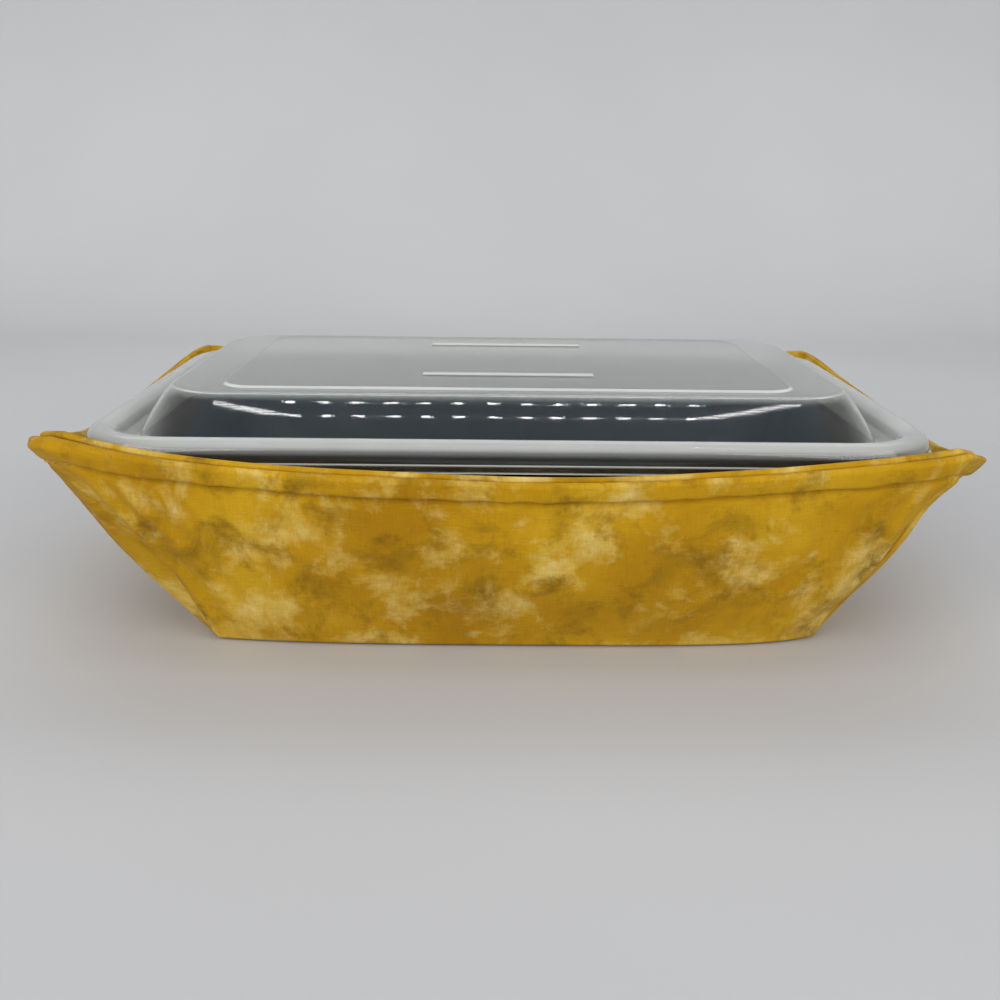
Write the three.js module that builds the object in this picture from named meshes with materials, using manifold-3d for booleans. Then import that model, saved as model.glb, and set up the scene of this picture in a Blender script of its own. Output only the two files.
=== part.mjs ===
// A microwave container cozy: a padded cotton tray with pointed corners, holding a lidded plastic food tray.
// Units are millimetres. +Z is up, +X runs along the long side, and -Y is the front.
// The origin is the middle of the flat sole that stands on the table.
import * as THREE from "three";
import { mergeVertices } from "three/addons/utils/BufferGeometryUtils.js";
import Module from "manifold-3d";

const wasm = await Module();
wasm.setup();

// Driving dimensions of the lid and the tray under it
const LID_LENGTH = 222;
const LID_WIDTH = 156.5;
const LID_CORNER_RADIUS = 26;
const LID_WALL = 0.7;
const LID_SKIRT_HEIGHT = 2.2;
const LID_LEDGE = 0.7;
const LID_BEAD_WIDTH = 8;
const LID_BEAD_HEIGHT = 5.3;
const LID_VALLEY_WIDTH = 5;
const LID_VALLEY_FLARE = 1.6;
const LID_VALLEY_LIFT = 1.2;
const LID_DOME_HEIGHT = 11.4;
const DOME_SLOPE_ENDS = 4.8;
const DOME_SLOPE_SIDES = 10.8;
const DOME_PANEL_MARGIN_ENDS = 15.5;
const DOME_PANEL_MARGIN_SIDES = 4.6;
const DOME_PANEL_RISE = 0.7;
const DOME_PANEL_RADIUS = 7;
const STACKING_BAR_LENGTH = 48;
const STACKING_BAR_WIDTH = 2.6;
const STACKING_BAR_HEIGHT = 0.7;
const STACKING_BAR_OFFSET = 28;
const TRAY_HEIGHT = 43.2;
const TRAY_WALL = 1;
const TRAY_DRAFT = 19.5;
const TRAY_BASE_RADIUS = 24;
const TRAY_RIM_DROP = 5.8;
const TRAY_FOOT_RADIUS = 7;
const TRAY_RIM_SHOULDER = 2.6;

// Driving dimensions of the sewn cozy
const SOLE_CORNER_CUT_LENGTH = 13;
const SOLE_CORNER_CUT_WIDTH = 4;
const SOLE_EDGE_ROLL = 4;
const SOLE_EDGE_RISE = 1.6;
const RIM_HEIGHT = 51.2;
const EAR_HEIGHT = 57.6;
const EAR_RISE_SIDES = 1.7;
const EAR_RISE_ENDS = 3;
const RIM_BOW_LENGTH = 3.5;
const RIM_BOW_WIDTH = 4.5;
const CLOTH = 0.8;
const BATTING = 1.9;
const LAYER_GAP = 0.42;
const RIM_SQUEEZE = 0.52;
const WALL_PUFF = 1.6;
const STITCH_FROM_RIM = 6.35;
const STITCH_GROOVE = 1.1;
const STITCH_MARGIN = 2;
const RIM_FOLD = 1.4;
const THREAD = 0.5;
const DART_THREAD = 0.5;
const DART_ROOM = 1.6;

// Clearances between the pieces that come apart
const FIT_GAP = 0.3;
const LID_FIT = 0.5;
const LID_DROP = 0.9;
const END_CLEARANCE = 2.7;
const SIDE_CLEARANCE = 3.6;
const SOLE_END_ROOM = 1.6;
const SOLE_SIDE_ROOM = 10.4;

const CORNERS = ["front_left", "front_right", "back_right", "back_left"];

// Facets
const CORNER_STEPS = 9;
const SIDE_STATIONS = [-1, -0.92, -0.78, -0.55, -0.28, 0, 0.28, 0.55, 0.78, 0.92];

// Worked out from the driving dimensions
const LAYERS = {
  cover: [0, CLOTH],
  outerBatting: [CLOTH + LAYER_GAP, CLOTH + LAYER_GAP + BATTING],
};
LAYERS.innerBatting = LAYERS.outerBatting.map((d) => d + BATTING + LAYER_GAP);
LAYERS.lining = [LAYERS.innerBatting[1] + LAYER_GAP, LAYERS.innerBatting[1] + LAYER_GAP + CLOTH];
const COZY_WALL = LAYERS.lining[1];
const LINING_TRIM = 2 * DART_ROOM;
const WALL_LEAN = 1.12;
const RIM_WALL = COZY_WALL * WALL_LEAN * RIM_SQUEEZE;
const TRAY_WALL_TOP = LID_BEAD_WIDTH + TRAY_RIM_SHOULDER;
const TRAY_WALL_FOOT = TRAY_WALL_TOP + TRAY_DRAFT;
const SOLE_HALF_LENGTH = LID_LENGTH / 2 - TRAY_WALL_FOOT + COZY_WALL * WALL_LEAN + SOLE_END_ROOM;
const SOLE_HALF_WIDTH = LID_WIDTH / 2 - TRAY_WALL_FOOT + COZY_WALL * WALL_LEAN + SOLE_SIDE_ROOM;
const RIM_HALF_LENGTH = LID_LENGTH / 2 + END_CLEARANCE + RIM_WALL + RIM_BOW_LENGTH / 2;
const RIM_HALF_WIDTH = LID_WIDTH / 2 + SIDE_CLEARANCE + RIM_WALL + RIM_BOW_WIDTH / 2;
const WALL_SLANT = Math.hypot(RIM_HEIGHT, RIM_HALF_WIDTH - SOLE_HALF_WIDTH);
const STITCH_AT = 1 - STITCH_FROM_RIM / WALL_SLANT;
const BATTING_TOP = STITCH_AT - STITCH_MARGIN / WALL_SLANT;
const ALLOWANCE_BOTTOM = STITCH_AT + STITCH_MARGIN / WALL_SLANT;
const ALLOWANCE_TOP = 1 - RIM_FOLD / WALL_SLANT;
const TRAY_FLOOR = COZY_WALL + FIT_GAP;
const TRAY_TOP = TRAY_FLOOR + TRAY_HEIGHT;
const LID_BOTTOM = TRAY_TOP + LID_DROP;

// A closed solid through a stack of loops that all have the same number of points, capped at both ends
function loft(loops) {
  const count = loops[0].length;
  const points = loops.flat();
  const faces = [];
  for (let k = 0; k + 1 < loops.length; k++)
    for (let i = 0; i < count; i++) {
      const a = k * count + i;
      const b = k * count + ((i + 1) % count);
      faces.push(a, b, a + count, b, b + count, a + count);
    }
  const cap = (loop, first, turned) => {
    const middle = points.length;
    const centre = new THREE.Vector3();
    loop.forEach((p) => centre.addScaledVector(p, 1 / count));
    points.push(centre);
    for (let i = 0; i < count; i++) {
      const a = first + i;
      const b = first + ((i + 1) % count);
      faces.push(...(turned ? [a, middle, b] : [a, b, middle]));
    }
  };
  cap(loops[0], 0, true);
  cap(loops[loops.length - 1], (loops.length - 1) * count, false);
  return facingOut(points, faces);
}

// A ring-shaped solid: loops that follow one another round a closed section
function ringLoft(loops) {
  const count = loops[0].length;
  const faces = [];
  loops.forEach((_, k) => {
    const next = (k + 1) % loops.length;
    for (let i = 0; i < count; i++) {
      const j = (i + 1) % count;
      faces.push(k * count + i, k * count + j, next * count + i);
      faces.push(k * count + j, next * count + j, next * count + i);
    }
  });
  return facingOut(loops.flat(), faces);
}

// Builds the geometry and turns its faces outwards if the enclosed volume comes out negative
function facingOut(points, faces) {
  let volume = 0;
  const cross = new THREE.Vector3();
  for (let i = 0; i < faces.length; i += 3) {
    const [a, b, c] = [points[faces[i]], points[faces[i + 1]], points[faces[i + 2]]];
    volume += a.dot(cross.crossVectors(b, c)) / 6;
  }
  const order = volume < 0 ? faces.slice().reverse() : faces;
  const geometry = new THREE.BufferGeometry().setFromPoints(points);
  geometry.setIndex(order);
  return geometry;
}

function solidOf(geometry) {
  const bare = new THREE.BufferGeometry();
  bare.setAttribute("position", geometry.getAttribute("position"));
  if (geometry.index) bare.setIndex(geometry.index);
  const merged = mergeVertices(bare, 1e-4);
  return new wasm.Manifold(
    new wasm.Mesh({
      numProp: 3,
      vertProperties: new Float32Array(merged.attributes.position.array),
      triVerts: new Uint32Array(merged.index.array),
    }),
  );
}

function geometryOf(solid) {
  const mesh = solid.getMesh();
  const geometry = new THREE.BufferGeometry();
  geometry.setAttribute("position", new THREE.BufferAttribute(mesh.vertProperties, 3));
  geometry.setIndex(new THREE.BufferAttribute(mesh.triVerts, 1));
  return geometry;
}

// A rounded rectangle as a loop of points at one height
function roundedLoop(halfLength, halfWidth, radius, z) {
  const loop = [];
  const corners = [[1, -1, -90], [1, 1, 0], [-1, 1, 90], [-1, -1, 180]];
  for (const [sx, sy, start] of corners)
    for (let k = 0; k <= CORNER_STEPS; k++) {
      const angle = THREE.MathUtils.degToRad(start + (90 * k) / CORNER_STEPS);
      const x = sx * (halfLength - radius) + radius * Math.cos(angle);
      const y = sy * (halfWidth - radius) + radius * Math.sin(angle);
      loop.push(new THREE.Vector3(x, y, z));
    }
  return loop;
}

// A station of the lid or the tray: how far in from the lid's edge on the ends and on the sides, and its height
function edgeLoop({ ends, sides = ends, z, radius }) {
  const corner = radius ?? Math.max(LID_CORNER_RADIUS - 0.55 * ends, DOME_PANEL_RADIUS);
  return roundedLoop(LID_LENGTH / 2 - ends, LID_WIDTH / 2 - sides, corner, z);
}

// The lid's upper face, from the foot of its skirt over the bead and the valley to the raised panel
function lidStations() {
  const beadFoot = LID_BOTTOM + LID_SKIRT_HEIGHT;
  const beadTop = beadFoot + LID_BEAD_HEIGHT;
  const valley = beadFoot + LID_VALLEY_LIFT;
  const domeFoot = LID_BEAD_WIDTH + LID_VALLEY_FLARE + LID_VALLEY_WIDTH;
  const shoulder = valley + LID_DOME_HEIGHT;
  const panelTop = shoulder + DOME_PANEL_RISE;
  const shoulderEnds = domeFoot + DOME_SLOPE_ENDS;
  const shoulderSides = domeFoot + DOME_SLOPE_SIDES;
  const halfwayEnds = (domeFoot + shoulderEnds) / 2;
  const halfwaySides = (domeFoot + shoulderSides) / 2;
  const panelEnds = shoulderEnds + DOME_PANEL_MARGIN_ENDS;
  const panelSides = shoulderSides + DOME_PANEL_MARGIN_SIDES;
  return [
    { ends: 0, z: LID_BOTTOM },
    { ends: 0, z: beadFoot - 0.5 },
    { ends: LID_LEDGE, z: beadFoot },
    { ends: 0.5, z: beadFoot + LID_BEAD_HEIGHT * 0.4 },
    { ends: LID_BEAD_WIDTH * 0.16, z: beadFoot + LID_BEAD_HEIGHT * 0.78 },
    { ends: LID_BEAD_WIDTH * 0.48, z: beadTop },
    { ends: LID_BEAD_WIDTH * 0.82, z: beadFoot + LID_BEAD_HEIGHT * 0.8 },
    { ends: LID_BEAD_WIDTH, z: beadFoot + LID_BEAD_HEIGHT * 0.42 },
    { ends: LID_BEAD_WIDTH + LID_VALLEY_FLARE, z: valley },
    { ends: domeFoot, z: valley },
    { ends: domeFoot + 1, sides: domeFoot + 1.2, z: valley + 0.8 },
    { ends: halfwayEnds, sides: halfwaySides, z: valley + LID_DOME_HEIGHT * 0.55 },
    { ends: shoulderEnds - 0.6, sides: shoulderSides - 1.2, z: shoulder - 0.7 },
    { ends: shoulderEnds + 0.8, sides: shoulderSides + 0.8, z: shoulder, radius: 2 * DOME_PANEL_RADIUS },
    { ends: panelEnds, sides: panelSides, z: shoulder, radius: DOME_PANEL_RADIUS },
    { ends: panelEnds + 0.8, sides: panelSides + 0.8, z: panelTop, radius: DOME_PANEL_RADIUS },
  ];
}

// The same wall's other face: every station moved square to the profile by the wall's thickness
function insideOf(stations, wall) {
  return stations.map((station, k) => {
    const before = stations[Math.max(k - 1, 0)];
    const after = stations[Math.min(k + 1, stations.length - 1)];
    const run = new THREE.Vector2(after.ends - before.ends, after.z - before.z).normalize();
    const inward = { ends: run.y * wall, z: -run.x * wall };
    return {
      ends: station.ends + inward.ends,
      sides: (station.sides ?? station.ends) + inward.ends,
      z: station.z + (k === 0 ? 0 : inward.z),
      radius: station.radius,
    };
  });
}

function lidGeometry() {
  const upper = lidStations();
  const under = insideOf(upper, LID_WALL);
  const shell = solidOf(loft([...upper.slice().reverse(), ...under].map(edgeLoop)));
  const top = upper[upper.length - 1].z;
  const bars = [-1, 1].map((side) => {
    const outline = new THREE.Shape();
    const straight = (STACKING_BAR_LENGTH - STACKING_BAR_WIDTH) / 2;
    outline.absarc(straight, 0, STACKING_BAR_WIDTH / 2, -Math.PI / 2, Math.PI / 2);
    outline.absarc(-straight, 0, STACKING_BAR_WIDTH / 2, Math.PI / 2, (3 * Math.PI) / 2);
    const depth = STACKING_BAR_HEIGHT + LID_WALL / 2;
    const bar = new THREE.ExtrudeGeometry(outline, { depth, bevelEnabled: false, curveSegments: 5 });
    bar.translate(0, side * STACKING_BAR_OFFSET, top - LID_WALL / 2);
    return solidOf(bar);
  });
  return geometryOf(bars.reduce((whole, bar) => whole.add(bar), shell));
}

// The food tray: drafted walls, a flat foot, and a hollow rolled rim that the lid's bead clips over
function trayGeometry() {
  const rimOuter = LID_LEDGE + LID_WALL + LID_FIT;
  const rimInner = LID_BEAD_WIDTH - LID_WALL;
  const rimTop = LID_BOTTOM + LID_SKIRT_HEIGHT + LID_BEAD_HEIGHT - LID_WALL - 2 * LID_FIT;
  const rimFoot = rimTop - TRAY_RIM_DROP;
  const heelHeight = TRAY_FLOOR + TRAY_FOOT_RADIUS;
  const heelRound = TRAY_FOOT_RADIUS * 0.3;
  const footRadius = TRAY_BASE_RADIUS - TRAY_FOOT_RADIUS;
  const outside = [
    { ends: TRAY_WALL_FOOT + TRAY_FOOT_RADIUS, z: TRAY_FLOOR, radius: footRadius },
    { ends: TRAY_WALL_FOOT + heelRound, z: TRAY_FLOOR + heelRound, radius: TRAY_BASE_RADIUS },
    { ends: TRAY_WALL_FOOT, z: heelHeight, radius: TRAY_BASE_RADIUS },
    { ends: TRAY_WALL_TOP, z: rimFoot - TRAY_WALL },
    { ends: rimInner, z: rimFoot + TRAY_WALL },
    { ends: rimOuter + 1.2 * TRAY_WALL, z: rimFoot + TRAY_WALL },
    { ends: rimOuter + TRAY_WALL, z: rimFoot },
    { ends: rimOuter, z: rimFoot },
    { ends: rimOuter + 0.2, z: rimTop - 1.8 },
    { ends: rimOuter + 1.6, z: rimTop - 0.4 },
    { ends: (rimOuter + rimInner) / 2, z: rimTop },
  ];
  const inside = [
    { ends: rimInner - 0.9, z: rimTop - 0.9 },
    { ends: rimInner + 0.8 * TRAY_WALL, z: rimFoot + TRAY_WALL },
    { ends: TRAY_WALL_TOP + TRAY_WALL, z: rimFoot - TRAY_WALL },
    { ends: TRAY_WALL_FOOT + TRAY_WALL, z: heelHeight, radius: TRAY_BASE_RADIUS },
    { ends: TRAY_WALL_FOOT + TRAY_WALL + TRAY_FOOT_RADIUS, z: TRAY_FLOOR + TRAY_WALL, radius: footRadius },
  ];
  return loft([...outside, ...inside].map(edgeLoop));
}

// One loop of the cozy's wall. At height share v, each side bows between two corners that rise to pointed ears.
// The trim draws the corners in, where batting or lining is cut back to make room for a dart's seam.
function cozyLoop(v, depth, trim = 0) {
  const mix = THREE.MathUtils.lerp;
  const squeeze = mix(1, RIM_SQUEEZE, v ** 2);
  const inset = depth * WALL_LEAN * squeeze - WALL_PUFF * Math.sin(Math.PI * Math.min(v / STITCH_AT, 1));
  const halfLength = mix(SOLE_HALF_LENGTH, RIM_HALF_LENGTH, v) - inset;
  const halfWidth = mix(SOLE_HALF_WIDTH, RIM_HALF_WIDTH, v) - inset;
  const cutBack = trim * (1 - v ** 3);
  const cutLength = mix(SOLE_CORNER_CUT_LENGTH, RIM_BOW_LENGTH, v) + cutBack;
  const cutWidth = mix(SOLE_CORNER_CUT_WIDTH, RIM_BOW_WIDTH, v) + cutBack;
  const power = mix(3.4, 2, v);
  const low = SOLE_EDGE_RISE + depth;
  const sideHeight = mix(low, RIM_HEIGHT, v);
  const earHeight = mix(low, EAR_HEIGHT, v);
  const cornerX = halfLength - cutLength;
  const cornerY = halfWidth - cutWidth;
  const height = (s, rise) => mix(sideHeight, earHeight, Math.abs(s) ** rise);
  const loop = [];
  const sides = [[1, 0], [0, 1], [-1, 0], [0, -1]];
  sides.forEach(([alongX, alongY]) => {
    for (const s of SIDE_STATIONS) {
      const drop = Math.abs(s) ** power;
      const x = alongX ? alongX * s * cornerX : alongY * (halfLength - cutLength * drop);
      const y = alongX ? -alongX * (halfWidth - cutWidth * drop) : alongY * s * cornerY;
      loop.push(new THREE.Vector3(x, y, height(s, alongX ? EAR_RISE_SIDES : EAR_RISE_ENDS)));
    }
  });
  return loop;
}

// The flat part of a layer, just inside the rolled edge of the sole
function soleLoop(depth, trim) {
  const edge = cozyLoop(0, depth, trim);
  const shrink = new THREE.Vector2(1 - SOLE_EDGE_ROLL / SOLE_HALF_LENGTH, 1 - SOLE_EDGE_ROLL / SOLE_HALF_WIDTH);
  return edge.map((p) => new THREE.Vector3(p.x * shrink.x, p.y * shrink.y, depth));
}

// How far the row of stitches pulls each face of the wall towards its middle
const pinch = (v, depth) => (v === STITCH_AT ? STITCH_GROOVE * (depth > COZY_WALL / 2 ? -1 : 1) : 0);

// One layer of the padded wall: a tray whose outer and inner faces lie at two depths below the cover's face
function layerGeometry([outer, inner], heights, trim) {
  const face = (depth) => heights.map((v) => cozyLoop(v, depth + pinch(v, depth), trim));
  return loft([soleLoop(outer, trim), ...face(outer), ...face(inner).reverse(), soleLoop(inner, trim)]);
}

const BATTING_HEIGHTS = [0, 0.14, 0.36, 0.62, BATTING_TOP];
const CLOTH_HEIGHTS = [...BATTING_HEIGHTS, STITCH_AT, ALLOWANCE_BOTTOM, 1];

// The turned-in edges of cover and lining, folded between them above the stitching
function allowanceGeometry() {
  const [outer, inner] = [LAYERS.outerBatting[0], LAYERS.innerBatting[1]];
  const outerFace = [ALLOWANCE_BOTTOM, ALLOWANCE_TOP].map((v) => cozyLoop(v, outer));
  const innerFace = [ALLOWANCE_TOP, ALLOWANCE_BOTTOM].map((v) => cozyLoop(v, inner));
  return ringLoft([...outerFace, ...innerFace]);
}

// A row of stitching as one flat ring of thread, lying in the groove that it pulls
function threadGeometry(depth, outwards, trim) {
  const half = THREAD / 2 / WALL_SLANT;
  const near = depth + outwards * LAYER_GAP;
  const far = near + outwards * THREAD;
  const row = [STITCH_AT - half, STITCH_AT + half];
  const nearFace = row.map((v) => cozyLoop(v, near, trim));
  const farFace = row.map((v) => cozyLoop(v, far, trim));
  return ringLoft([...nearFace, ...farFace.reverse()]);
}

// The seam that closes a corner dart, just inside one cloth, from the sole's corner up to the stitched rim
function dartGeometry(corner, depth, trim) {
  const stations = [0.06, 0.2, 0.36, 0.54, 0.7];
  const points = stations.map((v) => cozyLoop(v, depth, trim)[corner * SIDE_STATIONS.length]);
  const side = DART_THREAD / 2;
  const square = [[-side, -side], [side, -side], [side, side], [-side, side]];
  const outline = new THREE.Shape(square.map(([x, y]) => new THREE.Vector2(x, y)));
  const path = new THREE.CatmullRomCurve3(points);
  return new THREE.ExtrudeGeometry(outline, { steps: 10, extrudePath: path, bevelEnabled: false });
}

const matte = (color, roughness) => new THREE.MeshStandardMaterial({ color, roughness, metalness: 0 });
const printedCotton = matte(0xb8892b, 0.92);
const liningCotton = matte(0xc79a3c, 0.92);
const cottonBatting = matte(0xeee6d2, 0.97);
const goldThread = matte(0xc99b3a, 0.7);
const blackPlastic = matte(0x121416, 0.38);
const clearPlastic = matte(0xd9dcdc, 0.12);
clearPlastic.transparent = true;
clearPlastic.opacity = 0.35;

const cozy = new THREE.Group();
function place(name, geometry, material) {
  const mesh = new THREE.Mesh(geometry, material);
  mesh.name = name;
  cozy.add(mesh);
}

place("outer_cover", layerGeometry(LAYERS.cover, CLOTH_HEIGHTS, 0), printedCotton);
place("outer_batting", layerGeometry(LAYERS.outerBatting, BATTING_HEIGHTS, DART_ROOM), cottonBatting);
place("inner_batting", layerGeometry(LAYERS.innerBatting, BATTING_HEIGHTS, DART_ROOM), cottonBatting);
place("lining", layerGeometry(LAYERS.lining, CLOTH_HEIGHTS, LINING_TRIM), liningCotton);
place("rim_seam_allowance", allowanceGeometry(), liningCotton);
CORNERS.forEach((corner, k) => {
  const coverSeam = dartGeometry(k, LAYERS.cover[1] + DART_THREAD, 0.2 * DART_ROOM);
  const liningSeam = dartGeometry(k, LAYERS.lining[0] - 1.2 * DART_THREAD, LINING_TRIM - 0.2 * DART_ROOM);
  place(`cover_dart_seam_${corner}`, coverSeam, goldThread);
  place(`lining_dart_seam_${corner}`, liningSeam, goldThread);
});
place("topstitch_outer", threadGeometry(STITCH_GROOVE, -1, 0), goldThread);
place("topstitch_inner", threadGeometry(COZY_WALL - STITCH_GROOVE, 1, LINING_TRIM), goldThread);
place("food_tray", trayGeometry(), blackPlastic);
place("lid", lidGeometry(), clearPlastic);

export default cozy;
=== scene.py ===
# %% [markdown]
# # A padded cozy for a microwave food tray
# The cozy is two darted rectangles of printed cotton with batting between them, sewn together round the rim.
# A black moulded tray with a clear lid sits in it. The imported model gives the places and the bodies, and each
# cell below makes one piece or one finish. Sizes are in metres, and MM turns millimetres into them.

# %% Load the frame
import math
from types import SimpleNamespace

import bpy
import numpy as np
from mathutils import Matrix, Vector, noise


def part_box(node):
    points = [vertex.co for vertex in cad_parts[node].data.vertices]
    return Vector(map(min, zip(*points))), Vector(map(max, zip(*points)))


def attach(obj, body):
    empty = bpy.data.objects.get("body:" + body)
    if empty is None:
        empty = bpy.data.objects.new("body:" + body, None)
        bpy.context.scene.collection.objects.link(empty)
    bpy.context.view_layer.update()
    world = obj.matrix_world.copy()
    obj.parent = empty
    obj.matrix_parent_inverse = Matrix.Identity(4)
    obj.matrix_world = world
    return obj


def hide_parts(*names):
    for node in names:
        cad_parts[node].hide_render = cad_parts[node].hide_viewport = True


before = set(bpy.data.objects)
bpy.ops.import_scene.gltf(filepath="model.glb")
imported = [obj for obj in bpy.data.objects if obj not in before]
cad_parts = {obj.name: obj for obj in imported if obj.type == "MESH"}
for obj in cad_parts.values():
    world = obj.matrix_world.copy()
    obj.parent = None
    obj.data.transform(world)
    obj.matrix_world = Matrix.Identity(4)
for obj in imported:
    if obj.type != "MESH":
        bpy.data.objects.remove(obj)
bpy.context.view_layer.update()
MM = 0.001

# %% [markdown]
# ## The camera
# The photograph was taken from a little above the rim with a wide lens, slightly turned and rolled. A camera
# can be aimed by eye, but here its place and focal length come from fitting the cozy's four ears and the
# lid's outline to the picture, so the pose is a place, three angles and a focal length in pixels.

# %% Camera
FOCAL_PIXELS = 1175
FRAME_PIXELS = 1000
SENSOR_WIDTH = 36
NEAREST_SEEN = 10 * MM
CAMERA_PLACE = Vector((-5.3, -356.0, 124.2)) * MM
YAW, PITCH, ROLL = (math.radians(angle) for angle in (0.60, 16.0, 0.67))

ahead = Vector((math.sin(YAW) * math.cos(PITCH), math.cos(YAW) * math.cos(PITCH), -math.sin(PITCH)))
level = Vector((math.cos(YAW), -math.sin(YAW), 0))
upright = level.cross(ahead)
to_right = level * math.cos(ROLL) + upright * math.sin(ROLL)
to_top = upright * math.cos(ROLL) - level * math.sin(ROLL)

camera_data = bpy.data.cameras.new("camera")
camera_data.sensor_width = SENSOR_WIDTH
camera_data.lens = SENSOR_WIDTH * FOCAL_PIXELS / FRAME_PIXELS
camera_data.clip_start = NEAREST_SEEN
camera = bpy.data.objects.new("camera", camera_data)
bpy.context.scene.collection.objects.link(camera)
turned = Matrix((to_right, to_top, -ahead)).transposed().to_4x4()
camera.matrix_world = Matrix.Translation(CAMERA_PLACE) @ turned
bpy.context.scene.camera = camera
print("camera lens in mm:", round(camera_data.lens, 2))

# %% [markdown]
# ## Small helpers
# Most pieces start as a primitive that is shaped in edit mode. An operator works on everything that is
# selected, so each piece begins by clearing the selection, and faces or edges are then picked by their place.
# A finished piece is named, says which body it rides on and which plain solids it stands for, and hides those.

# %% Helpers
def clear_selection():
    bpy.ops.object.select_all(action="DESELECT")


def only(piece):
    clear_selection()
    piece.select_set(True)
    bpy.context.view_layer.objects.active = piece


def apply_modifier(piece, kind, **settings):
    only(piece)
    modifier = piece.modifiers.new(kind.lower(), kind)
    for key, value in settings.items():
        setattr(modifier, key, value)
    bpy.ops.object.modifier_apply(modifier=modifier.name)


def start_editing(kind):
    """Goes into edit mode, to work on vertices, edges or faces."""
    bpy.ops.object.mode_set(mode="EDIT")
    bpy.ops.mesh.select_mode(type=kind)


def stop_editing():
    bpy.ops.object.mode_set(mode="OBJECT")


def select_items(piece, kind, items, wanted):
    """Selects the faces or edges for which wanted(item) is true and leaves the piece in edit mode."""
    only(piece)
    start_editing(kind)
    bpy.ops.mesh.select_all(action="DESELECT")
    stop_editing()
    for item in getattr(piece.data, items):
        item.select = wanted(item)
    bpy.ops.object.mode_set(mode="EDIT")


def select_faces(piece, wanted):
    select_items(piece, "FACE", "polygons", wanted)


def select_edges(piece, wanted):
    """Selects the edges for which wanted(place) is true at both ends."""
    def both_ends(edge):
        return all(wanted(piece.data.vertices[v].co) for v in edge.vertices)

    select_items(piece, "EDGE", "edges", both_ends)


def select_whole(piece):
    select_faces(piece, lambda face: True)


def select_border(piece):
    """Selects the piece's open edges and leaves it in edit mode."""
    only(piece)
    start_editing("EDGE")
    bpy.ops.mesh.select_all(action="SELECT")
    bpy.ops.mesh.region_to_loop()


def flip_faces(piece):
    select_whole(piece)
    bpy.ops.mesh.flip_normals()
    stop_editing()


def finish_piece(piece, name, body, slot, *nodes):
    piece.name = name
    piece.data.name = name
    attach(piece, body)
    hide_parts(*nodes)
    print(name, "has", len(piece.data.polygons), "faces and stands for", len(nodes), "solids")


# %% [markdown]
# ## The shape that the darts give
# Each cloth is a rectangle. A dart at each corner draws it up into a tray with leaning walls, and what is
# left of the corner stands out as a pointed ear. The wall can be written as one formula: how far up it is
# (height, 0 at the sole and 1 at the rim), where along its side (station, -1 and 1 at the corners) and how
# deep inside the padding (depth). The solids use the same formula with few points. The cloth adds what the
# tray inside does to it: below the hem its corners are rounded, its left end bulges past the dart seams and
# its right end is drawn in a little. Pairs of heights say where such a form starts to grow or to fade and
# where it has done so.

# %% Wall formula
rim_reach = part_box("outer_cover")[1]
SOLE_HALF = (90 * MM, 66 * MM)
LEFT_CORNER_CUT = (12.3 * MM, 3.5 * MM)
RIGHT_CORNER_CUT = (2.8 * MM, 4.4 * MM)
SOLE_EDGE_ROLL = 4 * MM
SOLE_EDGE_RISE = 1.6 * MM
RIM_HALF = (rim_reach[0], rim_reach[1])
RIM_BOW = (3.5 * MM, 4.5 * MM)
BOW_POWER = (3.4, 2.0)
RIM_HEIGHT = 51.2 * MM
EAR_HEIGHT = rim_reach[2]
EAR_RISE_SIDES = 1.7
EAR_RISE_LEFT_END = 3
EAR_RISE_RIGHT_END = 5
EAR_RISE_BACK = 2.1
PADDED_WALL = 6.66 * MM
WALL_LEAN = 1.12
RIM_SQUEEZE = 0.52
WALL_PUFF = 1.6 * MM
LEFT_END_BULGE = 5 * MM
RIGHT_END_BULGE = -1.5 * MM
BULGE_GROWS = (-0.05, 0.35)
BULGE_FADES = (0.72, 1)
BULGE_POWER = 12
CORNER_ROUNDING = 3.2 * MM
ROUNDING_GROWS = (0, 0.35)
ROUNDING_POWER = (9, 14)
BLUNT_EAR_ROUNDING = 4.2 * MM
EAR_ROUNDING = 2.4 * MM
EAR_FLARE = 6.5 * MM
FLARE_POWER = (4, 14)
STITCH_FROM_RIM = 6.35 * MM
WALL_SLANT = math.hypot(RIM_HEIGHT, RIM_HALF[1] - SOLE_HALF[1])
STITCH_AT = 1 - STITCH_FROM_RIM / WALL_SLANT
EAR_GROWS = (STITCH_AT - 0.2, 0.99)


def mix(low, high, share):
    return low + (high - low) * share


def smooth_step(low, high, value):
    share = np.clip((value - low) / (high - low), 0, 1)
    return share * share * (3 - 2 * share)


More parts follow.
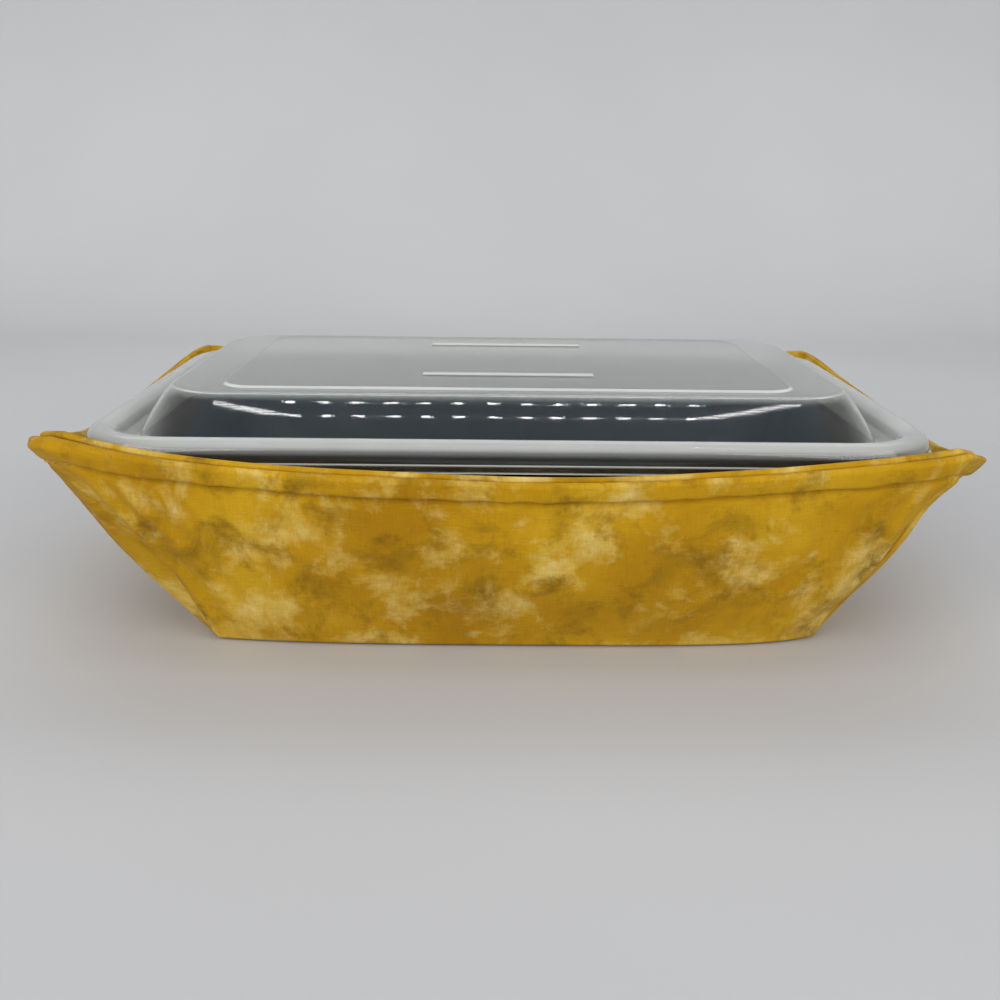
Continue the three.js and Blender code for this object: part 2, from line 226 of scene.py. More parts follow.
def wall_point(height, station, on_end, way, depth):
    """Places on the wall. on_end is true on the short sides, and way is -1 at the front or left, else +1."""
    squeeze = mix(1, RIM_SQUEEZE, height**2)
    belly = np.sin(np.pi * np.clip(height / STITCH_AT, 0, 1))
    inset = depth * WALL_LEAN * squeeze - WALL_PUFF * belly
    half_length = mix(SOLE_HALF[0], RIM_HALF[0], height) - inset
    half_width = mix(SOLE_HALF[1], RIM_HALF[1], height) - inset
    to_left = np.where(on_end, way, station) < 0
    to_front = np.where(on_end, station, way) < 0
    to_corner = np.minimum(np.abs(station), 1)
    cut_length = mix(np.where(to_left, LEFT_CORNER_CUT[0], RIGHT_CORNER_CUT[0]), RIM_BOW[0], height)
    cut_width = mix(np.where(to_left, LEFT_CORNER_CUT[1], RIGHT_CORNER_CUT[1]), RIM_BOW[1], height)
    bow = to_corner ** mix(*BOW_POWER, height)

    at_ear = smooth_step(*EAR_GROWS, height)
    foot_rounding = np.where(to_left, 0, CORNER_ROUNDING)
    ear_rounding = np.where(to_left & to_front, BLUNT_EAR_ROUNDING, EAR_ROUNDING)
    rounding = mix(foot_rounding, CORNER_ROUNDING, smooth_step(*ROUNDING_GROWS, height))
    rounding = mix(rounding, ear_rounding, at_ear)
    fullness = smooth_step(*BULGE_GROWS, height) * (1 - smooth_step(*BULGE_FADES, height))
    bulge = np.where(to_left, LEFT_END_BULGE, RIGHT_END_BULGE) * fullness * (1 - to_corner**BULGE_POWER)
    flare = np.where(to_front, EAR_FLARE, 0) * at_ear
    bulge = bulge + flare * to_corner ** FLARE_POWER[0] * (1 - to_corner ** FLARE_POWER[1])

    along = station * (np.where(on_end, half_width - cut_width, half_length - cut_length) - rounding)
    out = np.where(on_end, half_length - cut_length * bow + bulge, half_width - cut_width * bow)
    out = way * (out - rounding * to_corner ** mix(*ROUNDING_POWER, at_ear))
    low = SOLE_EDGE_RISE + depth
    side_height = mix(low, RIM_HEIGHT, height)
    ear_height = mix(low, EAR_HEIGHT, height)
    end_rise = np.where(to_left, EAR_RISE_LEFT_END, EAR_RISE_RIGHT_END)
    end_rise = np.where(to_front, end_rise, EAR_RISE_BACK)
    z = mix(side_height, ear_height, to_corner ** np.where(on_end, end_rise, EAR_RISE_SIDES))
    return np.column_stack((np.where(on_end, out, along), np.where(on_end, along, out), z))


print("wall slant in mm:", round(WALL_SLANT / MM, 1), "and stitching at height", round(STITCH_AT, 3))

# %% [markdown]
# ## A cloth laid flat
# A grid makes the sole, and its border is extruded outwards once for each ring of the wall and of the
# turned-in rim. While the cloth lies flat, a vertex's ring and station can be read from where it is, so
# sewing it up is only a matter of moving every vertex to its place on the wall.

# %% Flat cloth
SOLE_CELLS = (128, 100)
ROLL_RINGS = 6
LOW_RINGS = 30
UNDER_STITCH_RINGS = 8
HEM_RINGS = 14
TURN_RINGS = 8
TUCK_RINGS = 4
STITCH_RING = ROLL_RINGS + LOW_RINGS + UNDER_STITCH_RINGS
LIP_RING = STITCH_RING + HEM_RINGS
LAST_RING = LIP_RING + TURN_RINGS + TUCK_RINGS


def flat_cloth():
    clear_selection()
    bpy.ops.mesh.primitive_grid_add(x_subdivisions=SOLE_CELLS[0], y_subdivisions=SOLE_CELLS[1], size=2)
    cloth = bpy.context.object
    select_border(cloth)
    for ring in range(LAST_RING):
        grow = (ring + 2) / (ring + 1)
        bpy.ops.mesh.extrude_edges_move()
        bpy.ops.transform.resize(value=(grow, grow, 1), center_override=(0, 0, 0))
    stop_editing()
    return cloth


def read_vertices(piece, what):
    values = np.empty(len(piece.data.vertices) * 3)
    piece.data.vertices.foreach_get(what, values)
    return values.reshape(-1, 3)


def move_vertices(piece, places):
    piece.data.vertices.foreach_set("co", places.ravel())
    piece.data.update()


print("a cloth has", LAST_RING, "rings round its sole, and the stitching runs on ring", STITCH_RING)

# %% [markdown]
# ## Sewing the cloth
# Rings are handed out from the middle: the flat sole, its rolled edge, the wall up to the hem, the hem, and
# the lip that turns over into the seam. The cover rolls inwards over its lip and the lining rolls outwards,
# which leaves the fine dark groove that runs along the middle of the rim. The rim wanders a little, as cloth
# does, and the front left ear is raised and blunt.

# %% Sewn places
CLOSER_AT_DARTS = 0.36
FINE_FOOT = STITCH_AT - 4.5 * MM / WALL_SLANT
LIP_RADIUS = 0.95 * MM
LIP_FOOT = 1 - LIP_RADIUS / WALL_SLANT
LIP_DEPTH = LIP_RADIUS / (WALL_LEAN * RIM_SQUEEZE)
TUCKED_IN = 3.5 * MM / WALL_SLANT
LINING_LIP_LIFT = 0.8 * MM
RIM_WANDER = 1.3 * MM
RIM_WANDER_LENGTH = 55 * MM
RIM_RISE_SHARE = 0.7
SWAY_LAYER, RISE_LAYER = 2.5, 8.5
RAISED_EAR = (-RIM_HALF[0], -RIM_HALF[1])
RAISED_EAR_LIFT = 3.0 * MM
RAISED_EAR_REACH = 26 * MM
EAR_TIP_DROOP = 6.3 * MM
EAR_TIP_REACH = 8 * MM
EAR_PUFF = 7 * MM
EAR_PUFF_REACH = 14 * MM
EAR_PUFF_GROWS = (STITCH_AT - 0.3, STITCH_AT + 0.02)
EAR_PUFF_FADES = (0.95, 1)
DIAGONAL_SLACK = 1e-6
NOT_ZERO = 1e-9


def bell(distance, reach):
    return np.exp(-((distance / reach) ** 2))


def smooth_noise(across, up, size, layer):
    return np.array([noise.noise(Vector((a / size, b / size, layer))) for a, b in zip(across, up)])


def from_raised_ear(places):
    return np.hypot(places[:, 0] - RAISED_EAR[0], places[:, 1] - RAISED_EAR[1])


def wander(places, height):
    """Moves the upper wall alike in every layer. One ear is raised, droops at its tip and is puffy below."""
    up = np.clip(height, 0, 1)
    to_ear = from_raised_ear(places)
    lift = RAISED_EAR_LIFT * bell(to_ear, RAISED_EAR_REACH) - EAR_TIP_DROOP * bell(to_ear, EAR_TIP_REACH)
    under_rim = smooth_step(*EAR_PUFF_GROWS, height) * (1 - smooth_step(*EAR_PUFF_FADES, height))
    puff = EAR_PUFF * bell(to_ear, EAR_PUFF_REACH) * under_rim
    sway = smooth_noise(places[:, 0], places[:, 1], RIM_WANDER_LENGTH, SWAY_LAYER)
    rise = smooth_noise(places[:, 0], places[:, 1], RIM_WANDER_LENGTH, RISE_LAYER)
    most = up**3 * RIM_WANDER
    outwards = places[:, :2] / np.maximum(np.linalg.norm(places[:, :2], axis=1), NOT_ZERO)[:, None]
    moved_out = outwards * (most * sway + puff)[:, None]
    return places + np.column_stack((moved_out, most * rise * RIM_RISE_SHARE + lift * up**2))


def sew(flat, face, lip_way):
    """Where the vertices of a flat cloth lie once it is sewn. lip_way is +1 where the lip rolls inwards."""
    reach = np.max(np.abs(flat[:, :2]), axis=1)
    in_sole = np.minimum(reach, 1)
    ring = np.maximum(np.rint(reach - 1), 0)
    on_end = np.abs(flat[:, 0]) > np.abs(flat[:, 1]) + DIAGONAL_SLACK
    station = np.where(on_end, flat[:, 1], flat[:, 0]) / np.maximum(reach, NOT_ZERO)
    station = station * (1 + CLOSER_AT_DARTS * (1 - station**2))
    way = np.where(np.where(on_end, flat[:, 0], flat[:, 1]) < 0, -1.0, 1.0)

    marks = (ROLL_RINGS, ROLL_RINGS + LOW_RINGS, STITCH_RING, LIP_RING)
    height = np.interp(ring, marks, (0, FINE_FOOT, STITCH_AT, LIP_FOOT))
    turn = math.pi * np.clip((ring - LIP_RING) / TURN_RINGS, 0, 1)
    tuck = np.clip((ring - LIP_RING - TURN_RINGS) / TUCK_RINGS, 0, 1)
    depth = face + lip_way * LIP_DEPTH * (1 - np.cos(turn))
    places = wall_point(height - TUCKED_IN * tuck, station, on_end, way, depth)
    places[:, 2] += LIP_RADIUS * np.sin(turn)
    if lip_way < 0:
        places[:, 2] += LINING_LIP_LIFT * smooth_step(STITCH_AT, LIP_FOOT, height)

    rolled = np.clip(ring / ROLL_RINGS, 0, 1) * math.pi / 2
    in_roll = ring <= ROLL_RINGS
    for axis in (0, 1):
        drawn_in = 1 - SOLE_EDGE_ROLL / SOLE_HALF[axis] * (1 - np.sin(rolled))
        places[:, axis] *= np.where(in_roll, drawn_in * in_sole, 1)
    places[:, 2] = np.where(in_roll, face + SOLE_EDGE_RISE * (1 - np.cos(rolled)), places[:, 2])
    run_up = SOLE_EDGE_ROLL * np.sin(rolled) + WALL_SLANT * (height + TUCKED_IN * tuck) + LIP_RADIUS * turn
    return SimpleNamespace(
        places=wander(places, height), height=height, station=station, on_end=on_end, way=way,
        run_up=run_up, ring=ring,
    )


print("each cloth's lip is", round(2 * LIP_RADIUS / MM, 1), "mm thick where it turns over")

# %% [markdown]
# ## Folds, puckers and the pull of the thread
# Sewn cloth is never smooth. The row of stitches sinks into the padding, the hem above it puffs, the cloth
# puckers along the thread, each dart is a crease in a soft hollow with folds that run beside it, and the
# walls have a slow slackness. These are small moves along the surface normal, worked out from where a point
# lies on the cloth. A layer is a place in the noise, so that no two of these forms run alike.

# %% Cloth relief
GROOVE = 0.85 * MM
GROOVE_WIDTH = 1.0 * MM
GROOVE_GROWS = (8 * MM, 22 * MM)
HEM_PUFF = 0.8 * MM
HEM_START = 0.15
HEM_POWER = 0.7
HEM_CLEAR_OF_EAR = (30 * MM, 9 * MM)
HEM_UNDERCUT = 1.1 * MM
UNDERCUT_REACH = 5 * MM
BELOW_HEM = 6 * MM
ABOVE_SOLE = 0.1
DART_CREASE = 1.8 * MM
CREASE_WIDTH = 1.3 * MM
CREASE_IN_HEM = 0.35
DART_HOLLOW = 1.0 * MM
HOLLOW_WIDTH = 7 * MM
WALL_POWER = 0.6
WALL_SHIFT = (0.7, 0.2)
SLACK = 1.3 * MM
SLACK_SIZE = 42 * MM
SLACK_SQUASH = 1.6
CRUMPLE = 0.25 * MM
CRUMPLE_SIZE = 11 * MM
PUCKER = 0.6 * MM
PUCKER_SIZE = 4.6 * MM
PUCKER_SQUASH = 0.25
PUCKER_REACH = 6.5 * MM
DRAG_FOLD = 0.75 * MM
DRAG_FOLD_PITCH = 9 * MM
DRAG_FOLD_REACH = 20 * MM
DRAG_FOLD_START = 5 * MM
DRAG_SWAY = 0.9
DRAG_SWAY_SIZE = 26 * MM
SLACK_LAYER, CRUMPLE_LAYER, PUCKER_LAYER, DRAG_LAYER = 0, 3.7, 7.1, 11.3


def cloth_relief(sewn, seed):
    half = [mix(SOLE_HALF[axis], RIM_HALF[axis], sewn.height) for axis in (0, 1)]
    to_dart = np.where(sewn.on_end, half[1], half[0]) * (1 - np.abs(sewn.station))
    to_stitch = (sewn.height - STITCH_AT) * WALL_SLANT
    on_wall = np.sin(np.pi * sewn.height) ** WALL_POWER
    below_hem = np.clip(-to_stitch / BELOW_HEM, 0, 1) * np.clip(sewn.height / ABOVE_SOLE, 0, 1)
    up_hem = np.clip(to_stitch / STITCH_FROM_RIM, 0, 1)
    in_hem = smooth_step(0, HEM_START, up_hem)
    from_ear = smooth_step(0, np.where(sewn.on_end, *HEM_CLEAR_OF_EAR), to_dart)
    along = np.where(sewn.on_end, sewn.places[:, 1], sewn.places[:, 0])
    across = along + np.where(sewn.on_end, *WALL_SHIFT) * sewn.way

    def rumple(size, layer, squash=1):
        return smooth_noise(across, sewn.run_up * squash, size, seed + layer)

    slack = SLACK * on_wall * rumple(SLACK_SIZE, SLACK_LAYER, SLACK_SQUASH)
    crumple = CRUMPLE * on_wall * rumple(CRUMPLE_SIZE, CRUMPLE_LAYER)
    pucker = PUCKER * bell(to_stitch, PUCKER_REACH) * rumple(PUCKER_SIZE, PUCKER_LAYER, PUCKER_SQUASH)
    groove = -GROOVE * bell(to_stitch, GROOVE_WIDTH)
    groove = groove * smooth_step(*GROOVE_GROWS, from_raised_ear(sewn.places))
    hem = HEM_PUFF * in_hem * (1 - up_hem) ** HEM_POWER * from_ear
    undercut = -HEM_UNDERCUT * np.exp(np.minimum(to_stitch, 0) / UNDERCUT_REACH) * (1 - in_hem) * from_ear
    crease = -DART_CREASE * np.exp(-to_dart / CREASE_WIDTH) * mix(CREASE_IN_HEM, 1, below_hem) * on_wall
    hollow = -DART_HOLLOW * bell(to_dart, HOLLOW_WIDTH) * below_hem
    turns = to_dart / DRAG_FOLD_PITCH + DRAG_SWAY * rumple(DRAG_SWAY_SIZE, DRAG_LAYER)
    drag = DRAG_FOLD * np.sin(2 * np.pi * turns) * np.exp(-to_dart / DRAG_FOLD_REACH)
    drag = drag * smooth_step(0, DRAG_FOLD_START, to_dart) * below_hem
    relief = slack + crumple + pucker + groove + hem + undercut + crease + hollow + drag
    return np.where((sewn.ring > ROLL_RINGS) & (sewn.ring <= LIP_RING), relief, 0)


print("the stitches sink", GROOVE / MM, "mm into the cloth, and the hem stands", HEM_PUFF / MM, "mm proud")

# %% [markdown]
# ## The outer cover and the lining
# Both cloths are the same cut, sewn at two depths: the cover's face is the outside, and the lining's face is
# the inside of the pocket. Each gets its relief, and cloth coordinates in metres as its UV map, so that print
# and weave follow the threads and break at a dart as real cloth does. Solidify then gives it its thickness.

# %% Cover and lining
CLOTH_THICKNESS = 0.55 * MM
COVER_SEED = 1.3
LINING_SEED = 5.9
CORNERS = ("front_left", "front_right", "back_right", "back_left")


def lay_cloth_coordinates(piece, flat, sewn):
    """UV in metres from the middle of the sole: u climbs the wall at the ends, and v at the sides."""
    mesh = piece.data
    corners = np.empty(len(mesh.loops), dtype=np.int32)
    mesh.loops.foreach_get("vertex_index", corners)
    sizes = np.empty(len(mesh.polygons), dtype=np.int32)
    mesh.polygons.foreach_get("loop_total", sizes)
    face_of = np.repeat(np.arange(len(sizes)), sizes)
    middle = np.zeros((len(sizes), 2))
    np.add.at(middle, face_of, flat[corners, :2])
    end_face = (np.abs(middle[:, 0]) > np.abs(middle[:, 1]))[face_of]
    outside = (sewn.ring > 0)[corners]

    def spread(axis, climbs):
        spots = sewn.places[corners, axis]
        up_wall = np.sign(spots) * (SOLE_HALF[axis] - SOLE_EDGE_ROLL + sewn.run_up[corners])
        return np.where(outside & climbs, up_wall, spots)

    layer = mesh.uv_layers.active
    layer.name = "cloth"
    layer.data.foreach_set("uv", np.column_stack((spread(0, end_face), spread(1, ~end_face))).ravel())


def sewn_cloth(face, lip_way, seed):
    cloth = flat_cloth()
    flat = read_vertices(cloth, "co")
    sewn = sew(flat, face, lip_way)
    if lip_way > 0:
        flip_faces(cloth)
    move_vertices(cloth, sewn.places)
    lay_cloth_coordinates(cloth, flat, sewn)
    outwards = read_vertices(cloth, "normal")
    move_vertices(cloth, sewn.places + outwards * cloth_relief(sewn, seed)[:, None])
    sewn.places = read_vertices(cloth, "co")
    sewn.normals = read_vertices(cloth, "normal")
    apply_modifier(cloth, "SOLIDIFY", thickness=CLOTH_THICKNESS, offset=-1)
    bpy.ops.object.shade_smooth()
    return cloth, sewn


cover, cover_surface = sewn_cloth(0.0, 1, COVER_SEED)
cover_darts = ["cover_dart_seam_" + corner for corner in CORNERS]
finish_piece(
    cover, "padded_cover", "cozy", "cover_cloth",
    "outer_cover", "outer_batting", "rim_seam_allowance", *cover_darts,
)
lining, lining_surface = sewn_cloth(PADDED_WALL, -1, LINING_SEED)
lining_darts = ["lining_dart_seam_" + corner for corner in CORNERS]
finish_piece(lining, "padded_lining", "cozy", "lining_cloth", "lining", "inner_batting", *lining_darts)

# %% [markdown]
# ## The topstitching
# A row of machine stitches runs round the cozy a little below the rim, with the needle thread outside and the
# bobbin thread inside. A dashed texture could hint at it, but real stitches catch light, so one stitch is
# modelled as a short thread whose ends dive into the cloth, and it is copied along the bottom of the groove.

# %% Stitches
STITCH_PITCH = 2.9 * MM
STITCH_LENGTH = 2.4 * MM
STRAIGHT_SHARE = 0.6
THREAD_RADIUS = 0.27 * MM
THREAD_SIDES = 8
THREAD_TAPER = 0.4
THREAD_LIFT = 0.5
STITCH_DIVE = 0.25 * MM
STITCH_SLANT = math.radians(4)
STITCH_SPREAD = 0.02
STITCH_SEED = 7
END_CAP = 0.9
SIDES_IN_TURN = ((False, -1), (True, 1), (False, 1), (True, -1))


def one_stitch():
    clear_selection()
    straight = STITCH_LENGTH * STRAIGHT_SHARE
    bpy.ops.mesh.primitive_cylinder_add(
        vertices=THREAD_SIDES, radius=THREAD_RADIUS, depth=straight, rotation=(0, math.pi / 2, 0)
    )
    bpy.ops.object.transform_apply(rotation=True)
    stitch = bpy.context.object
    select_faces(stitch, lambda face: abs(face.normal.x) > END_CAP)
    run_out = (STITCH_LENGTH - straight) / 2
    bpy.ops.mesh.inset(thickness=THREAD_RADIUS * THREAD_TAPER, depth=run_out, use_individual=True)
    bpy.ops.transform.translate(value=(0, 0, -STITCH_DIVE))
    stop_editing()
    return stitch


def stitch_line(surface, on_end, way):
    """The cloth's points along one side at the stitching, with their normals and the length up to each."""
    on_line = (surface.ring == STITCH_RING) & (surface.on_end == on_end) & (surface.way == way)
    order = np.argsort(surface.station[on_line])
    points = surface.places[on_line][order]
    normals = surface.normals[on_line][order]
    lengths = np.concatenate(([0], np.cumsum(np.linalg.norm(np.diff(points, axis=0), axis=1))))
    return points, normals, lengths


def along_line(values, lengths, length):
    return Vector([np.interp(length, lengths, values[:, axis]) for axis in range(3)])


def stitch_row(name, surface, node):
    pattern = one_stitch()
    copies = []
    draw = np.random.default_rng(STITCH_SEED)
    for on_end, way in SIDES_IN_TURN:
        points, normals, lengths = stitch_line(surface, on_end, way)
        count = round(lengths[-1] / STITCH_PITCH)
        for middle in (np.arange(count) + 0.5) * lengths[-1] / count:
            out = along_line(normals, lengths, middle).normalized()
            start = along_line(points, lengths, middle - STITCH_LENGTH / 2)
            end = along_line(points, lengths, middle + STITCH_LENGTH / 2)
            across = out.cross(end - start).normalized()
            turned = Matrix((across.cross(out), across, out)).transposed().to_4x4()
            slant = Matrix.Rotation(STITCH_SLANT + draw.normal(0, STITCH_SPREAD), 4, "Z")
            lifted = Matrix.Translation((start + end) / 2 + out * THREAD_RADIUS * THREAD_LIFT)
            copy = bpy.data.objects.new(name, pattern.data.copy())
            copy.matrix_world = lifted @ turned @ slant
            bpy.context.scene.collection.objects.link(copy)
            copies.append(copy)
    bpy.data.objects.remove(pattern)
    clear_selection()
    for copy in copies:
        copy.select_set(True)
    bpy.context.view_layer.objects.active = copies[0]
    bpy.ops.object.join()
    row = bpy.context.object
    bpy.ops.object.transform_apply(location=True, rotation=True, scale=True)
    bpy.ops.object.shade_smooth()
    print(len(copies), "stitches")
    finish_piece(row, name, "cozy", "thread", node)
    return row


needle_row = stitch_row("needle_stitches", cover_surface, "topstitch_outer")
bobbin_row = stitch_row("bobbin_stitches", lining_surface, "topstitch_inner")

# %% [markdown]
# ## The black food tray
# The tray is a thin moulding with leaning walls and a rim that rolls over and down. A rounded plate is its
# floor, and the floor's border is drawn up and out through the stations of the wall and the rim. The plate is
# rounded at the rim's size and then scaled to the floor's, so that the rim's corners fit under the lid's. The
# wall's thickness is added last, towards the inside.

# %% Tray
lid_low, lid_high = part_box("lid")
tray_low, tray_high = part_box("food_tray")
LID_HALF = (lid_high[0], lid_high[1])
LID_CORNER_RADIUS = 26 * MM
CORNER_SEGMENTS = 20
TRAY_WALL = 1.0 * MM
TRAY_FOOT = 7 * MM
TRAY_FOOT_INSET = 30.1 * MM
TRAY_SHOULDER_INSET = 10.6 * MM
TRAY_SHOULDER_HEIGHT = 50 * MM
TRAY_SHOULDER_BEND = (0.6 * MM, 1.2 * MM)
TRAY_SHOULDER_LEDGE = (2.4 * MM, 1.0 * MM)
RIM_INNER_INSET = 6.4 * MM
RIM_OUTER_INSET = 1.9 * MM
RIM_SKIRT_FOOT = 51.3 * MM
ROLL_STEPS = 8
SMOOTH_ANGLE = math.radians(40)


def rounded_plate(half, radius, z):
    clear_selection()
    bpy.ops.mesh.primitive_plane_add(size=2)
    plate = bpy.context.object
    start_editing("VERT")
    bpy.ops.mesh.select_all(action="SELECT")
    bpy.ops.transform.resize(value=(half[0], half[1], 1), center_override=(0, 0, 0))
    bpy.ops.transform.translate(value=(0, 0, z))
    bpy.ops.mesh.bevel(offset=radius, segments=CORNER_SEGMENTS, affect="VERTICES")
    stop_editing()
    return plate


def tray_stations():
    """Insets from the lid's outline with heights: rounded foot, wall, shoulder and rolled rim."""
    stations = []
    for step in range(1, ROLL_STEPS + 1):
        turn = step / ROLL_STEPS * math.pi / 2
        inset = TRAY_FOOT_INSET + TRAY_FOOT * (1 - math.sin(turn))
        stations.append((inset, tray_low[2] + TRAY_FOOT * (1 - math.cos(turn))))
    inset, z = TRAY_SHOULDER_INSET, TRAY_SHOULDER_HEIGHT
    stations.append((inset + TRAY_SHOULDER_BEND[0], z - TRAY_SHOULDER_BEND[1]))
    stations.append((inset, z))
    stations.append((inset - TRAY_SHOULDER_LEDGE[0], z + TRAY_SHOULDER_LEDGE[1]))
    roll = (RIM_INNER_INSET - RIM_OUTER_INSET) / 2
    for step in range(ROLL_STEPS * 2 + 1):
        turn = step / (ROLL_STEPS * 2) * math.pi
        inset = RIM_OUTER_INSET + roll * (1 + math.cos(turn))
        stations.append((inset, tray_high[2] - roll * (1 - math.sin(turn))))
    stations.append((RIM_OUTER_INSET, RIM_SKIRT_FOOT))
    return stations


def draw_through(outlines, extrude):
    """Extrudes what is selected through (half length, half width, height) outlines."""
    for before, after in zip(outlines, outlines[1:]):
        extrude()
        grow = (after[0] / before[0], after[1] / before[1], 1)
        bpy.ops.transform.resize(value=grow, center_override=(0, 0, 0))
        bpy.ops.transform.translate(value=(0, 0, after[2] - before[2]))


def draw_border(piece, outlines):
    select_border(piece)
    draw_through(outlines, bpy.ops.mesh.extrude_edges_move)
    stop_editing()


rim_half = [half - RIM_OUTER_INSET for half in LID_HALF]
floor_half = [half - TRAY_FOOT_INSET - TRAY_FOOT for half in LID_HALF]
tray = rounded_plate(rim_half, LID_CORNER_RADIUS - RIM_OUTER_INSET, tray_low[2])
select_whole(tray)
to_floor = (floor_half[0] / rim_half[0], floor_half[1] / rim_half[1], 1)
bpy.ops.transform.resize(value=to_floor, center_override=(0, 0, 0))
stop_editing()
outlines = [(*floor_half, tray_low[2])]
outlines += [(LID_HALF[0] - inset, LID_HALF[1] - inset, z) for inset, z in tray_stations()]
draw_border(tray, outlines)
flip_faces(tray)
apply_modifier(tray, "SOLIDIFY", thickness=TRAY_WALL, offset=-1, use_even_offset=True)
bpy.ops.object.shade_smooth_by_angle(angle=SMOOTH_ANGLE)
finish_piece(tray, "black_tray", "tray", "tray_plastic", "food_tray")

# %% [markdown]
# ## The clear lid
# The lid is one thin sheet that was formed over a mould: a skirt, a round bead over the tray's rim, a narrow
# valley and a low dome with a flat panel. The dome's corners are rounder than the bead's would be that far
# in, and the panel's are tight, so it is made as three rounded plates. The first is inset again and again,
# each time up or down by one step of the bead's profile, the other two are extruded and scaled, and bridges
# close the gaps.

# %% Lid
LID_WALL = 0.7 * MM
LID_LEDGE = 0.7 * MM
LEDGE_SPLIT = 0.35
TRIM_EDGE = 0.5 * MM
SKIRT_HEIGHT = 2.2 * MM
BEAD_WIDTH = 8 * MM
BEAD_HEIGHT = 5.3 * MM
BEAD_POWER = 0.8
BEAD_STEPS = 14
VALLEY_LIFT = 1.2 * MM
VALLEY_DEPTH = 0.25 * MM
VALLEY_RUN = 1.2 * MM
DOME_INSET_ENDS = 12.4 * MM
DOME_INSET_SIDES = 14.6 * MM
DOME_FOOT = 1 * MM
DOME_HEIGHT = 11.15 * MM
DOME_BOW = 0.2
DOME_CORNER_RADIUS = 18 * MM
DOME_SLOPE_ENDS = 6.5 * MM
DOME_SLOPE_SIDES = 10.8 * MM
DOME_STEPS = 12
SHOULDER_ANGLE = math.radians(40)
SHOULDER_RADIUS = 1.4 * MM
SHOULDER_STEPS = 5
PANEL_MARGIN = (13.5 * MM, 4.6 * MM)
PANEL_RADIUS = 8 * MM
PANEL_RISE = 0.7 * MM
PANEL_STEP = ((0, 0), (0.25 * MM, 0.1 * MM), (0.75 * MM, PANEL_RISE - 0.12 * MM), (1.05 * MM, PANEL_RISE))
LEVEL_SLACK = 0.05 * MM
EDGE_ROUNDING = 0.18 * MM
SHARP_ANGLE = math.radians(50)
BAR_SIZE = (48 * MM, 2.6 * MM, 0.7 * MM)
BAR_SUNK = 0.4
BAR_OFFSET = 28 * MM
BAR_ROUNDING = 0.3 * MM


def bead_profile():
    """Insets and heights from the ledge over the bead to the floor of the valley."""
    foot = lid_low[2] + SKIRT_HEIGHT
    valley = foot + VALLEY_LIFT
    steps = [(LID_LEDGE * LEDGE_SPLIT, foot), (LID_LEDGE, foot)]
    for step in range(1, BEAD_STEPS + 1):
        turn = step / BEAD_STEPS * math.pi
        inset = LID_LEDGE + BEAD_WIDTH / 2 * (1 - math.cos(turn))
        end_height = mix(foot, valley, step / BEAD_STEPS)
        steps.append((inset, mix(end_height, foot + BEAD_HEIGHT, math.sin(turn) ** BEAD_POWER)))
    steps.append((LID_LEDGE + BEAD_WIDTH + VALLEY_RUN, valley - VALLEY_DEPTH))
    return steps


def dome_outlines(valley):
    """Half lengths, half widths and heights from the valley's floor up the slope and over the shoulder."""
    ends, sides = LID_HALF[0] - DOME_INSET_ENDS, LID_HALF[1] - DOME_INSET_SIDES
    foot = valley + VALLEY_DEPTH
    outlines = [(ends + DOME_FOOT, sides + DOME_FOOT, valley)]
    for step in range(DOME_STEPS + 1):
        share = step / DOME_STEPS
        z = foot + DOME_HEIGHT * share * (1 + DOME_BOW * (1 - share))
        outlines.append((ends - DOME_SLOPE_ENDS * share, sides - DOME_SLOPE_SIDES * share, z))
    ends, sides, top = outlines[-1]
    for step in range(1, SHOULDER_STEPS + 1):
        turn = SHOULDER_ANGLE * (1 - step / SHOULDER_STEPS)
        drawn_in = SHOULDER_RADIUS * (math.sin(SHOULDER_ANGLE) - math.sin(turn))
        z = top + SHOULDER_RADIUS * (math.cos(turn) - math.cos(SHOULDER_ANGLE))
        outlines.append((ends - drawn_in, sides - drawn_in, z))
    return outlines


def panel_outlines(ends, sides, top):
    """The raised panel's outlines, from the flat margin round it up its small step."""
    ends, sides = ends - PANEL_MARGIN[0], sides - PANEL_MARGIN[1]
    return [(ends - drawn_in, sides - drawn_in, top + rise) for drawn_in, rise in PANEL_STEP]


def remove_plates(piece, below):
    """Opens the piece by removing its many-sided plates that lie below a height."""
    select_faces(piece, lambda face: len(face.vertices) > 4 and face.center.z < below)
    bpy.ops.mesh.delete(type="ONLY_FACE")
    stop_editing()


def raised_plate(outlines, radius, open_top):
    """A rounded plate that is extruded up through its outlines. Its foot is left open."""
    plate = rounded_plate(outlines[0][:2], radius, outlines[0][2])
    select_whole(plate)
    draw_through(outlines, bpy.ops.mesh.extrude_region_move)
    stop_editing()
    remove_plates(plate, outlines[-1][2] + (LEVEL_SLACK if open_top else -LEVEL_SLACK))
    return plate


def bridge_at(piece, z):
    """Closes the gap between the two open loops that lie at height z."""
    select_border(piece)
    stop_editing()
    for edge in piece.data.edges:
        at_height = all(abs(piece.data.vertices[v].co.z - z) < LEVEL_SLACK for v in edge.vertices)
        edge.select = edge.select and at_height
    bpy.ops.object.mode_set(mode="EDIT")
    bpy.ops.mesh.bridge_edge_loops()
    stop_editing()


def stacking_bar(y, panel_z):
    """A low bar that keeps a stacked tray from sliding, with rounded edges, set a little into the panel."""
    length, width, height = BAR_SIZE
    clear_selection()
    bpy.ops.mesh.primitive_cube_add(size=1)
    bar = bpy.context.object
    start_editing("FACE")
    bpy.ops.transform.resize(value=(length, width, height * (1 + BAR_SUNK)), center_override=(0, 0, 0))
    bpy.ops.transform.translate(value=(0, y, panel_z + height * (1 - BAR_SUNK) / 2))
    bpy.ops.mesh.bevel(offset=BAR_ROUNDING, segments=3, affect="EDGES")
    stop_editing()
    return bar


